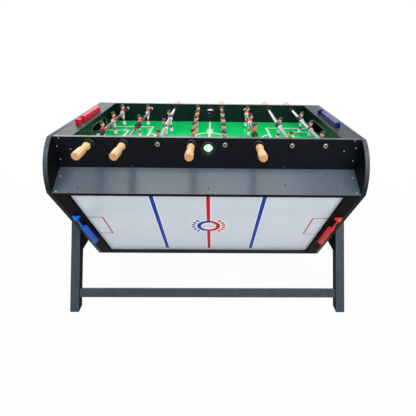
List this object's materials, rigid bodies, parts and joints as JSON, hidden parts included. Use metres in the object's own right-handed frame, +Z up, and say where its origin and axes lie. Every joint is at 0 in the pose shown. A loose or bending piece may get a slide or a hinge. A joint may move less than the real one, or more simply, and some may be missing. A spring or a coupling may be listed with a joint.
{
  "type": "rotating multi game table",
  "caption": "Long three-faced games cabinet turning between two A-frames, with table football, slide hockey and billiard faces, telescopic rods and bead scorers.",
  "frame": {"origin": "on the floor, under the middle of the table", "axes": "+X along the table to the right, -Y to the front where four handles and the hockey face are, +Z up"},
  "size_m": [1.437, 0.9, 0.906],
  "materials": {
    "black_board": "black laminate on fibreboard, satin",
    "grey_board": "slate grey laminate on fibreboard, satin",
    "football_green": "bright green printed laminate, semi-gloss",
    "ice_white": "bluish white laminate with rink lines, gloss",
    "billiard_cloth": "green cloth over board",
    "black_metal": "black powder coat",
    "chrome": "chromed steel",
    "player_rod": "chromed tube with moulded players",
    "pine": "clear lacquered pine",
    "black_plastic": "black moulded",
    "red_plastic": "red moulded, glossy",
    "blue_plastic": "blue moulded, glossy"
  },
  "bodies": {
    "stand": {"leg_left_front": "grey_board", "leg_left_rear": "grey_board", "leg_right_front": "grey_board", "leg_right_rear": "grey_board", "crossbar_left": "grey_board", "crossbar_right": "grey_board", "stretcher_front": "grey_board", "stretcher_rear": "grey_board", "pivot_bracket_left": "black_metal", "pivot_bracket_right": "black_metal"},
    "knob_left": {"lock_knob_left": "black_plastic"},
    "knob_right": {"lock_knob_right": "black_plastic"},
    "cabinet": {"end_panel_left": "black_board", "end_panel_right": "black_board", "foosball_front_apron": "black_board", "foosball_rear_apron": "black_board", "foosball_field": "football_green", "foosball_end_left": "black_board", "foosball_end_right": "black_board", "hockey_upper_board": "black_board", "hockey_lower_board": "black_board", "hockey_field": "ice_white", "hockey_end_left": "black_board", "hockey_end_right": "black_board", "billiard_lower_board": "black_board", "billiard_upper_board": "black_board", "billiard_bed": "billiard_cloth", "billiard_cushions": "billiard_cloth", "scorer_foosball_left": "red_plastic", "scorer_foosball_right": "blue_plastic", "scorer_hockey_left": "blue_plastic", "scorer_hockey_right": "red_plastic"},
    "spindle_1": {"inner_rod_1": "chrome"},
    "spindle_2": {"inner_rod_2": "chrome"},
    "spindle_3": {"inner_rod_3": "chrome"},
    "spindle_4": {"inner_rod_4": "chrome"},
    "spindle_5": {"inner_rod_5": "chrome"},
    "spindle_6": {"inner_rod_6": "chrome"},
    "spindle_7": {"inner_rod_7": "chrome"},
    "spindle_8": {"inner_rod_8": "chrome"},
    "players_1": {"rod_1": "player_rod", "handle_1": "pine"},
    "players_2": {"rod_2": "player_rod", "handle_2": "pine"},
    "players_3": {"rod_3": "player_rod", "handle_3": "pine"},
    "players_4": {"rod_4": "player_rod", "handle_4": "pine"},
    "players_5": {"rod_5": "player_rod", "handle_5": "pine"},
    "players_6": {"rod_6": "player_rod", "handle_6": "pine"},
    "players_7": {"rod_7": "player_rod", "handle_7": "pine"},
    "players_8": {"rod_8": "player_rod", "handle_8": "pine"},
    "football_score_left": {"beads_foosball_left": "red_plastic"},
    "football_score_right": {"beads_foosball_right": "blue_plastic"},
    "hockey_score_left": {"beads_hockey_left": "blue_plastic"},
    "hockey_score_right": {"beads_hockey_right": "red_plastic"}
  },
  "joints": [
    {"name": "cabinet_turn", "type": "hinge", "parent": "stand", "child": "cabinet", "pos_m": [0, 0, 0.579], "axis": [1, 0, 0], "continuous": true},
    {"name": "knob_left_turn", "type": "hinge", "parent": "stand", "child": "knob_left", "pos_m": [-0.7, 0, 0.494], "axis": [-1, 0, 0], "range_deg": [0, 360]},
    {"name": "knob_right_turn", "type": "hinge", "parent": "stand", "child": "knob_right", "pos_m": [0.7, 0, 0.494], "axis": [1, 0, 0], "range_deg": [0, 360]},
    {"name": "rod_1_spin", "type": "hinge", "parent": "cabinet", "child": "spindle_1", "pos_m": [-0.455, 0, 0.85548], "axis": [0, 1, 0], "continuous": true},
    {"name": "rod_2_spin", "type": "hinge", "parent": "cabinet", "child": "spindle_2", "pos_m": [-0.325, 0, 0.85548], "axis": [0, 1, 0], "continuous": true},
    {"name": "rod_3_spin", "type": "hinge", "parent": "cabinet", "child": "spindle_3", "pos_m": [-0.195, 0, 0.85548], "axis": [0, 1, 0], "continuous": true},
    {"name": "rod_4_spin", "type": "hinge", "parent": "cabinet", "child": "spindle_4", "pos_m": [-0.065, 0, 0.85548], "axis": [0, 1, 0], "continuous": true},
    {"name": "rod_5_spin", "type": "hinge", "parent": "cabinet", "child": "spindle_5", "pos_m": [0.065, 0, 0.85548], "axis": [0, 1, 0], "continuous": true},
    {"name": "rod_6_spin", "type": "hinge", "parent": "cabinet", "child": "spindle_6", "pos_m": [0.195, 0, 0.85548], "axis": [0, 1, 0], "continuous": true},
    {"name": "rod_7_spin", "type": "hinge", "parent": "cabinet", "child": "spindle_7", "pos_m": [0.325, 0, 0.85548], "axis": [0, 1, 0], "continuous": true},
    {"name": "rod_8_spin", "type": "hinge", "parent": "cabinet", "child": "spindle_8", "pos_m": [0.455, 0, 0.85548], "axis": [0, 1, 0], "continuous": true},
    {"name": "rod_1_slide", "type": "slide", "parent": "spindle_1", "child": "players_1", "axis": [0, -1, 0], "range_m": [-0.015, 0.0997]},
    {"name": "rod_2_slide", "type": "slide", "parent": "spindle_2", "child": "players_2", "axis": [0, -1, 0], "range_m": [-0.015, 0.2187]},
    {"name": "rod_3_slide", "type": "slide", "parent": "spindle_3", "child": "players_3", "axis": [0, 1, 0], "range_m": [-0.015, 0.1687]},
    {"name": "rod_4_slide", "type": "slide", "parent": "spindle_4", "child": "players_4", "axis": [0, -1, 0], "range_m": [-0.015, 0.0177]},
    {"name": "rod_5_slide", "type": "slide", "parent": "spindle_5", "child": "players_5", "axis": [0, 1, 0], "range_m": [-0.015, 0.0847]},
    {"name": "rod_6_slide", "type": "slide", "parent": "spindle_6", "child": "players_6", "axis": [0, -1, 0], "range_m": [-0.015, 0.0997]},
    {"name": "rod_7_slide", "type": "slide", "parent": "spindle_7", "child": "players_7", "axis": [0, 1, 0], "range_m": [-0.015, 0.2867]},
    {"name": "rod_8_slide", "type": "slide", "parent": "spindle_8", "child": "players_8", "axis": [0, 1, 0], "range_m": [-0.015, 0.1697]},
    {"name": "football_score_left_slide", "type": "slide", "parent": "cabinet", "child": "football_score_left", "axis": [0, -1, 0], "range_m": [0, 0.0472]},
    {"name": "football_score_right_slide", "type": "slide", "parent": "cabinet", "child": "football_score_right", "axis": [0, 1, 0], "range_m": [0, 0.0472]},
    {"name": "hockey_score_left_slide", "type": "slide", "parent": "cabinet", "child": "hockey_score_left", "axis": [0, -0.5, 0.866], "range_m": [0, 0.0472]},
    {"name": "hockey_score_right_slide", "type": "slide", "parent": "cabinet", "child": "hockey_score_right", "axis": [0, -0.5, 0.866], "range_m": [0, 0.0472]}
  ]
}
